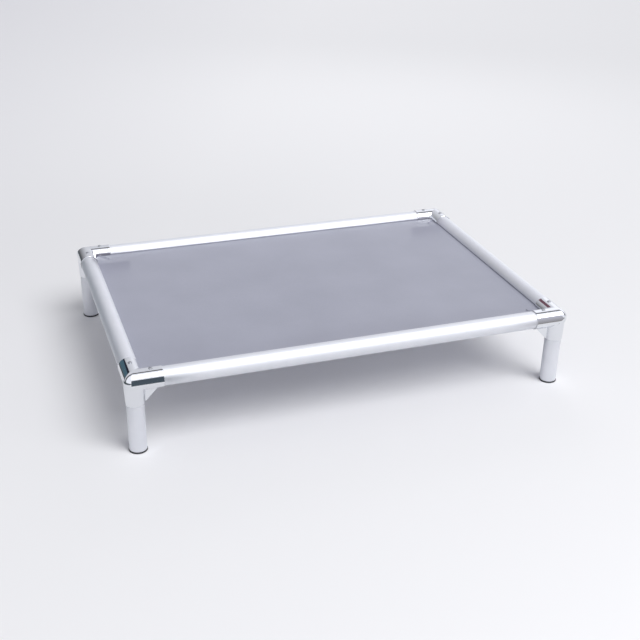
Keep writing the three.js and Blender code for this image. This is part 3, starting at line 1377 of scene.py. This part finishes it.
@dataclass
class ClothSheet:
    """The sheet: cut square, its corners notched, each edge lapped round a rod and welded under itself."""

    plan: BedPlan
    finish: Material
    rise: float = 2.0
    thickness: float = 1.1
    ply_offset: float = 0.6
    rod_offset: float = 11.9
    pocket_radius: float = 3.9
    notch: float = 22.0
    sleeve_radius: float = 21.0
    hem_width: float = 28.0
    mitre_gap: float = 0.4
    cell: float = 6.0
    sag: float = 2.0

    def build(self) -> Object:
        """Lays out the sheet, laps its edges, sags it, and gives it its thickness.

        Returns:
            The finished cloth.
        """
        sheet = self._flat_sheet()
        for side in Side:
            self._lap_edge(sheet, side)
        self._relax(sheet)
        close_up(sheet)
        modify(sheet, "SOLIDIFY", thickness=self.thickness * MM, offset=0, use_even_offset=True)
        hand_over(sheet, "stretched_cloth", self.finish, "cloth")
        return sheet

    def _flat_sheet(self) -> Object:
        """The sheet's upper ply, between its notches.

        Returns:
            The ply.
        """
        width = self.plan.long_span - 2 * self.notch
        depth = self.plan.short_span - 2 * self.notch
        deselect_all()
        bpy.ops.mesh.primitive_grid_add(
            x_subdivisions=round(width / self.cell),
            y_subdivisions=round(depth / self.cell),
            size=1,
            location=(0, 0, (self.plan.rail_height + self.rise + self.ply_offset) * MM),
            scale=(width * MM, depth * MM, 1),
        )
        sheet = bpy.context.object
        sheet.scale = (width * MM, depth * MM, 1)
        return moved_as_placed(sheet)

    def _lap_path(self) -> list[tuple[float, float]]:
        """The line an edge follows, as (distance in from the leg axis, height over the cloth's middle).

        Returns:
            The points of the line, in millimetres.
        """
        turn = 128
        loop = [
            (
                self.rod_offset - self.pocket_radius * math.cos(math.radians(angle)),
                self.pocket_radius * math.sin(math.radians(angle)),
            )
            for angle in range(turn, -turn - 1, -16)
        ]
        ply = self.ply_offset
        hem_end = self.sleeve_radius + self.hem_width
        flap = [(inset, -ply) for inset in (self.notch, 27.0, 32.0, 37.0, 43.0, hem_end)]
        upper = [(self.notch, ply), (19.5, ply), (17.2, 1.2 * ply)]
        lower = [(17.2, -1.2 * ply), (19.5, -ply)]
        return [*upper, *loop, *lower, *flap]

    def _lap_edge(self, sheet: Object, side: Side) -> None:
        """Extrudes one edge of the sheet round its rod and back under it, with mitred ends.

        Args:
            sheet: the sheet as far as it is made.
            side: the side whose edge is lapped.
        """
        outward = Vector((0, -1)) if side.is_long else Vector((1, 0))
        if side in (Side.BACK, Side.LEFT):
            outward = -outward
        reach = self.plan.reach(side)
        half = self.plan.span(side) / 2
        edge = reach - self.notch
        path = self._lap_path()
        with editing(sheet, Element.EDGE):
            pick(
                sheet,
                Element.EDGE,
                lambda middle: middle.x * outward.x + middle.y * outward.y > edge - 0.01
                and middle.z > self.plan.rail_height + self.rise,
            )
            was = half - self.notch
            for (start, low), (end, high) in pairwise(path):
                extrude((outward.x * (start - end), outward.y * (start - end), high - low))
                now = half - max(self.notch, end) - (self.mitre_gap if end > self.notch else 0)
                if high < 0 and end > self.notch:
                    share = now / was
                    factor = (share, 1, 1) if side.is_long else (1, share, 1)
                    bpy.ops.transform.resize(value=factor, center_override=(0, 0, 0))
                    was = now

    def _relax(self, sheet: Object) -> None:
        """Lets the sheet down by what its own weight and uneven tension do."""
        for vertex in sheet.data.vertices:
            vertex.co.z += self._drop(vertex.co.x / MM, vertex.co.y / MM) * MM

    def _drop(self, x: float, y: float) -> float:
        """How far the cloth stands over its flat plane at a point, in millimetres.

        Args:
            x: where the point is along X.
            y: where it is along Y.

        Returns:
            The height, negative where it hangs.
        """
        in_x = self.plan.long_span / 2 - abs(x)
        in_y = self.plan.short_span / 2 - abs(y)
        if min(in_x, in_y) <= self.sleeve_radius:
            return 0.0
        half_x = self.plan.long_span / 2 - self.sleeve_radius
        half_y = self.plan.short_span / 2 - self.sleeve_radius
        bowl = -self.sag * (1 - (x / half_x) ** 2) ** 0.8 * (1 - (y / half_y) ** 2) ** 0.8
        fade_x = smooth_step(in_x, self.sleeve_radius, self.sleeve_radius + 26)
        fade_y = smooth_step(in_y, self.sleeve_radius, self.sleeve_radius + 26)
        phase = 1.3 if x > 0 else 4.1
        pulls = math.sin(y / 11.3 + phase) + 0.8 * math.sin(y / 17.9 + 2.2 * phase)
        pulls += 0.5 * math.sin(y / 29 + phase)
        short_side = 0.12 * pulls * math.exp(-in_x / 75)
        phase = 0.4 if y > 0 else 2.9
        pulls = math.sin(x / 15.1 + phase) + 0.7 * math.sin(x / 24.3 + 1.7 * phase)
        long_side = 0.05 * pulls * math.exp(-in_y / 60)
        short_side *= smooth_step(in_y, self.sleeve_radius, self.sleeve_radius + 90)
        long_side *= smooth_step(in_x, self.sleeve_radius, self.sleeve_radius + 90)
        return bowl + fade_x * fade_y * (short_side + long_side)


def smooth_step(value: float, low: float, high: float) -> float:
    """0 below low, 1 above high, and a smooth rise between them."""
    share = min(max((value - low) / (high - low), 0.0), 1.0)
    return share * share * (3 - 2 * share)


@dataclass
class EdgeRods:
    """The rods in the hem pockets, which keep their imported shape: they lie hidden in the rails."""

    finish: Material

    def dress(self) -> None:
        """Gives each rod its finish."""
        for side in Side:
            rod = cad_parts[f"{side.label}_edge_rod"]
            rod.data.materials.clear()
            rod.data.materials.append(self.finish)
            log.info("%s: finish %s", rod.name, self.finish.name)


# ---- Studio ----


@dataclass(frozen=True)
class Panel:
    """A soft box: where it stands and what it is aimed at, in metres, its sides, and its power in watts."""

    name: str
    place: tuple[float, float, float]
    aim: tuple[float, float, float]
    width: float
    height: float
    power: float


@dataclass(frozen=True)
class Card:
    """A glowing card, from its lowest to its highest corner in millimetres, with its tones at both edges."""

    name: str
    low: tuple[float, float, float]
    high: tuple[float, float, float]
    low_colour: str
    high_colour: str


# The middle of the bed, under its cloth, which the panels are aimed at.
BED_MIDDLE = (0.0, 0.0, 0.1)


@dataclass
class Studio:
    """Pale paper under a broad key light and three soft panels.

    Only the metal sees the tones of the room and the cards round the bed.
    """

    paper_low: tuple[float, float] = (-0.9, -1.15)
    paper_high: tuple[float, float] = (9.0, 12.0)
    paper_colour: str = "#EFEFF1"
    # The paper's second colour is painted shade, for the light that falls off towards the far left and back.
    paper_painted_shade: str = "#E1E1E5"
    ground_size: float = 60.0
    ground_colour: str = "#50585C"
    sun_strength: float = 1.85
    sun_spread: float = 40.0
    sun_from: tuple[float, float, float] = (0.39, -0.6, 1.0)
    room_colour: str = "#F3F4FA"
    # The light that the room gives to matt things. The metal shows the room's own tones, in _room_tone().
    ambience: float = 0.38
    ceiling_tone: float = 1.15
    back_right_tone: float = 0.86
    window_from: tuple[float, float, float] = (0.75, 0.6, 0.5)
    window_strength: float = 0.5
    # One for the undersides, one high at the back right, and one for the far paper.
    panels: tuple[Panel, ...] = (
        Panel("front_panel", (1.2, -3.0, 0.5), BED_MIDDLE, 4.0, 0.8, 95.0),
        Panel("back_panel", (1.2, 2.2, 1.5), BED_MIDDLE, 1.4, 1.0, 4.0),
        Panel("far_panel", (1.2, 4.6, 3.4), (1.2, 4.7, 0), 5.0, 3.0, 18.0),
    )
    # They put the coloured bands in the polished corners.
    cards: tuple[Card, ...] = (
        Card("left_flag", (-1300, 450, 165), (-640, 455, 480), "#4E6875", "#4E6875"),
        Card("left_flag_hem", (-1300, 450, 480), (-640, 455, 590), "#272835", "#272835"),
        Card("front_left_flag", (-460, -382, 121), (-362, -380, 189), "#525D66", "#4C5660"),
        Card("front_right_flag", (384, -382, 121), (494, -380, 202), "#94918F", "#CFCFDB"),
        Card("back_left_flag", (-450, 248, 160), (-366, 250, 188), "#7A7885", "#9A96A4"),
        Card("back_right_flag", (366, 248, 160), (450, 250, 190), "#AEACB8", "#CAC8D4"),
        Card("red_flag", (130, 480, 715), (500, 485, 870), "#76535F", "#76535F"),
    )
    lens: float = 59.04
    camera_at: tuple[float, float, float] = (-0.71449, -2.05203, 1.165)
    camera_forward: tuple[float, float, float] = (0.30381, 0.83902, -0.45137)
    camera_right: tuple[float, float, float] = (0.94336, -0.33120, 0.01931)

    def build(self) -> None:
        """Sets up the floor, the lights, the room and the camera."""
        self._ground()
        self._paper()
        self._key_light()
        self._fill_lights()
        self._flags()
        self._room()
        self._camera()
        bpy.context.scene.view_settings.view_transform = "Standard"

    def _ground(self) -> None:
        """The studio's own dark floor, which the camera never sees and the chrome does."""
        half = self.ground_size / 2
        ground = self._sheet(
            "studio_ground", (-half, -half), (half, half), -0.002, self.ground_colour, self.ground_colour
        )
        ground.visible_camera = False

    def _paper(self) -> None:
        """The pale paper under the bed, wider than the picture, with painted shade towards its far left."""
        self._sheet(
            "studio_paper", self.paper_low, self.paper_high, 0.0, self.paper_colour, self.paper_painted_shade
        )

    def _sheet(
        self,
        name: str,
        low: tuple[float, float],
        high: tuple[float, float],
        height: float,
        colour: str,
        painted_shade_colour: str,
    ) -> Object:
        """Lays a flat matt sheet on the floor.

        Args:
            name: the sheet's name.
            low: its lowest X and Y, in metres.
            high: its highest X and Y, in metres.
            height: how high it lies, in metres.
            colour: its colour at the right.
            painted_shade_colour: its colour at the far left, which is painted shade where less light falls.

        Returns:
            The sheet.
        """
        deselect_all()
        bpy.ops.mesh.primitive_plane_add(
            size=1,
            location=((low[0] + high[0]) / 2, (low[1] + high[1]) / 2, height),
        )
        sheet = bpy.context.object
        sheet.scale = (high[0] - low[0], high[1] - low[1], 1)
        sheet.name = name
        moved_as_placed(sheet)
        material, tree = blank_material(f"matt_{name}")
        place = add_node(tree, "ShaderNodeTexCoord").outputs["Object"]
        # Painted shade: the colour darkens towards the far left and back, where less light falls.
        painted_shade_leftness = add_node(
            tree, "ShaderNodeVectorMath", {0: place, 1: (-0.55, 0.26, 0)}, operation="DOT_PRODUCT"
        ).outputs["Value"]
        shade = add_node(
            tree, "ShaderNodeMapRange", {"Value": painted_shade_leftness, "From Min": 0.3, "From Max": 1.4}
        ).outputs["Result"]
        tone = add_node(
            tree,
            "ShaderNodeMix",
            {0: shade, 6: linear(colour), 7: linear(painted_shade_colour)},
            data_type="RGBA",
        ).outputs[2]
        fibres = add_node(
            tree, "ShaderNodeTexNoise", {"Vector": place, "Scale": 300.0, "Detail": 2.0}
        ).outputs["Fac"]
        relief = add_node(
            tree, "ShaderNodeBump", {"Height": fibres, "Strength": 0.1, "Distance": 0.02 * MM}
        ).outputs["Normal"]
        shader = add_node(
            tree,
            "ShaderNodeBsdfPrincipled",
            {"Base Color": tone, "Roughness": 0.9, "Specular IOR Level": 0.1, "Normal": relief},
        )
        add_node(tree, "ShaderNodeOutputMaterial", {"Surface": shader.outputs["BSDF"]})
        sheet.data.materials.append(material)
        return sheet

    def _key_light(self) -> None:
        """The main light: broad, and the same over the whole floor."""
        light = bpy.data.lights.new("key_light", "SUN")
        light.energy = self.sun_strength
        light.angle = math.radians(self.sun_spread)
        lamp = bpy.data.objects.new("key_light", light)
        bpy.context.collection.objects.link(lamp)
        lamp.rotation_euler = Vector(self.sun_from).to_track_quat("Z", "Y").to_euler()

    def _fill_lights(self) -> None:
        """Sets up the soft panels."""
        for panel in self.panels:
            light = bpy.data.lights.new(panel.name, "AREA")
            light.shape = "RECTANGLE"
            light.size, light.size_y = panel.width, panel.height
            light.energy = panel.power
            lamp = bpy.data.objects.new(panel.name, light)
            bpy.context.collection.objects.link(lamp)
            lamp.location = panel.place
            turn = (Vector(panel.place) - Vector(panel.aim)).to_track_quat("Z", "Y")
            lamp.rotation_euler = turn.to_euler()
            lamp.visible_glossy = False
            lamp.visible_camera = False

    def _flags(self) -> None:
        """Stands up the cards, which only reflections see.

        Each glows with its own tone, from its lower edge to its upper one.
        """
        for flag in self.cards:
            card = block(flag.low, flag.high)
            card.name = flag.name
            material, tree = blank_material(f"glowing_{flag.name}")
            place = add_node(tree, "ShaderNodeTexCoord").outputs["Object"]
            height = add_node(tree, "ShaderNodeSeparateXYZ", {"Vector": place}).outputs["Z"]
            rise = add_node(
                tree,
                "ShaderNodeMapRange",
                {"Value": height, "From Min": flag.low[2] * MM, "From Max": flag.high[2] * MM},
            ).outputs["Result"]
            tone = add_node(
                tree,
                "ShaderNodeMix",
                {0: rise, 6: linear(flag.low_colour), 7: linear(flag.high_colour)},
                data_type="RGBA",
            ).outputs[2]
            shader = add_node(
                tree,
                "ShaderNodeBsdfPrincipled",
                {
                    "Base Color": linear("#000000"),
                    "Roughness": 1.0,
                    "Specular IOR Level": 0.0,
                    "Emission Color": tone,
                    "Emission Strength": 1.0,
                },
            )
            add_node(tree, "ShaderNodeOutputMaterial", {"Surface": shader.outputs["BSDF"]})
            card.data.materials.append(material)
            card.visible_camera = False
            card.visible_diffuse = False
            card.visible_shadow = False

    def _room(self) -> None:
        """The room round the studio: an even light for matt things, its own tones for the metal."""
        world = bpy.data.worlds.new("studio_room")
        bpy.context.scene.world = world
        world.use_nodes = True
        tree = world.node_tree
        tree.nodes.clear()
        heading = add_node(tree, "ShaderNodeTexCoord").outputs["Generated"]
        colour = linear(self.room_colour)
        even = add_node(tree, "ShaderNodeBackground", {"Color": colour, "Strength": self.ambience})
        tone = self._room_tone(tree, heading)
        shown = add_node(tree, "ShaderNodeBackground", {"Color": colour, "Strength": tone})
        backdrop = add_node(tree, "ShaderNodeBackground", {"Color": linear("#F0F1F4"), "Strength": 1.0})
        path = add_node(tree, "ShaderNodeLightPath")
        light = add_node(
            tree,
            "ShaderNodeMixShader",
            {0: path.outputs["Is Glossy Ray"], 1: even.outputs["Background"], 2: shown.outputs["Background"]},
        )
        mixed = add_node(
            tree,
            "ShaderNodeMixShader",
            {0: path.outputs["Is Camera Ray"], 1: light.outputs["Shader"], 2: backdrop.outputs["Background"]},
        )
        add_node(tree, "ShaderNodeOutputWorld", {"Surface": mixed.outputs["Shader"]})

    def _room_tone(self, tree: NodeTree, heading: NodeSocket) -> NodeSocket:
        """How bright the room is in each direction.

        It is brightest over the front, has a gap between two ceiling panels, is darker low down at the
        left, and has a window at the back right.

        Args:
            tree: the world's tree.
            heading: the direction.

        Returns:
            The brightness.
        """
        axes = add_node(tree, "ShaderNodeSeparateXYZ", {"Vector": heading}).outputs
        back_left = add_node(
            tree, "ShaderNodeMapRange", {"Value": axes["Z"], "From Max": 0.7, "To Min": 0.1, "To Max": 0.88}
        ).outputs["Result"]
        rightness = add_node(
            tree,
            "ShaderNodeMapRange",
            {"Value": axes["X"], "From Min": -0.3, "From Max": 0.2},
            interpolation_type="SMOOTHSTEP",
        ).outputs["Result"]
        back = add_node(
            tree, "ShaderNodeMix", {0: rightness, 2: back_left, 3: self.back_right_tone}, data_type="FLOAT"
        ).outputs[0]
        frontness = add_node(
            tree,
            "ShaderNodeMapRange",
            {"Value": axes["Y"], "From Min": 0.45, "From Max": 0.1},
            interpolation_type="SMOOTHSTEP",
        ).outputs["Result"]
        room = add_node(
            tree, "ShaderNodeMix", {0: frontness, 2: back, 3: self.ceiling_tone}, data_type="FLOAT"
        ).outputs[0]
        off_gap = add_node(
            tree, "ShaderNodeVectorMath", {0: heading, 1: (0, 0.974, -0.225)}, operation="DOT_PRODUCT"
        ).outputs["Value"]
        off_gap = add_node(tree, "ShaderNodeMath", {0: off_gap}, operation="ABSOLUTE").outputs["Value"]
        panels = add_node(
            tree,
            "ShaderNodeMapRange",
            {"Value": off_gap, "From Min": 0.07, "From Max": 0.15, "To Min": 0.05},
            interpolation_type="SMOOTHSTEP",
        ).outputs["Result"]
        towards = add_node(
            tree,
            "ShaderNodeVectorMath",
            {0: heading, 1: tuple(Vector(self.window_from).normalized())},
            operation="DOT_PRODUCT",
        ).outputs["Value"]
        window = add_node(
            tree,
            "ShaderNodeMapRange",
            {"Value": towards, "From Min": 0.82, "From Max": 0.99, "To Max": self.window_strength},
            interpolation_type="SMOOTHSTEP",
        ).outputs["Result"]
        return add_node(
            tree, "ShaderNodeMath", {0: room, 1: panels, 2: window}, operation="MULTIPLY_ADD"
        ).outputs["Value"]

    def _camera(self) -> None:
        """The camera, in front of the bed's left end and a little over a metre up."""
        camera = bpy.data.objects.new("camera", bpy.data.cameras.new("camera"))
        bpy.context.collection.objects.link(camera)
        forward = Vector(self.camera_forward).normalized()
        right = Vector(self.camera_right)
        right = (right - forward * right.dot(forward)).normalized()
        up = right.cross(forward)
        axes = Matrix((right, up, -forward)).transposed().to_4x4()
        camera.matrix_world = Matrix.Translation(self.camera_at) @ axes
        camera.data.lens = self.lens
        camera.data.sensor_width = 36
        camera.data.clip_end = 200
        bpy.context.scene.camera = camera


# ---- The bed ----


@dataclass
class DogBed:
    """The whole bed: its frame, its cloth and its screws."""

    plan: BedPlan

    def build(self) -> None:
        """Builds every sub-assembly in the order that a maker puts them together."""
        tubes = {axis: AnodisedAluminium(axis).material() for axis in "XYZ"}
        chrome = PolishedCasting().material()
        rubber = MouldedRubber().material()
        for side in Side:
            RailExtrusion(side, self.plan, tubes["X" if side.is_long else "Y"]).build()
        castings = CornerCasting(self.plan, chrome)
        for corner in Corner:
            castings.build(corner)
            LegTube(corner, self.plan, tubes["Z"]).build()
            RubberFoot(corner, self.plan, rubber).build()
        castings.put_away()
        self._drive_screws(castings)
        ClothSheet(self.plan, CoatedCloth().material()).build()
        EdgeRods(ExtrudedPlastic().material()).dress()

    def _drive_screws(self, castings: CornerCasting, gap: float = 0.3) -> None:
        """Puts in each corner's three screws.

        Args:
            castings: the castings that the screws go into.
            gap: how far the heads stand off their seats.
        """
        screws = PanScrew(PlatedSteel().material())
        rail_head = self.plan.rail_height + castings.head_seat + gap
        leg_head = self.plan.rail_height - castings.leg_screw_drop
        for corner in Corner:
            sign_x, sign_y = corner.signs
            origin = Vector((sign_x * self.plan.long_span / 2, sign_y * self.plan.short_span / 2))
            turn = Matrix.Rotation(math.radians(90 * corner.value), 2)
            arms = (Vector((castings.rail_screw_reach, 0)), Vector((0, castings.rail_screw_reach)))
            for side, arm in zip(corner.sides, arms):
                at = origin + turn @ arm
                spin = 37 * (3 * corner.value + side.value) % 90
                screws.build(
                    f"{side.label}_rail_pan_screw_{corner.label}",
                    f"{side.label}_rail_screw_{corner.label}",
                    (0, 0, 0),
                    spin,
                    (at.x, at.y, rail_head),
                )
            inward = turn @ Vector((1, 1)).normalized()
            at = origin + inward * (castings.leg_head_seat + gap)
            screws.build(
                f"{corner.label}_leg_pan_screw",
                f"{corner.label}_leg_screw",
                (0, 90, 45 + 90 * corner.value),
                20 + 25 * corner.value,
                (at.x, at.y, leg_head),
            )
        screws.put_away()


def main() -> None:
    """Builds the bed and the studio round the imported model."""
    logging.basicConfig(level=logging.INFO, format="%(name)s: %(message)s")
    DogBed(BedPlan.from_frame()).build()
    Studio().build()


if __name__ == "__main__":
    main()
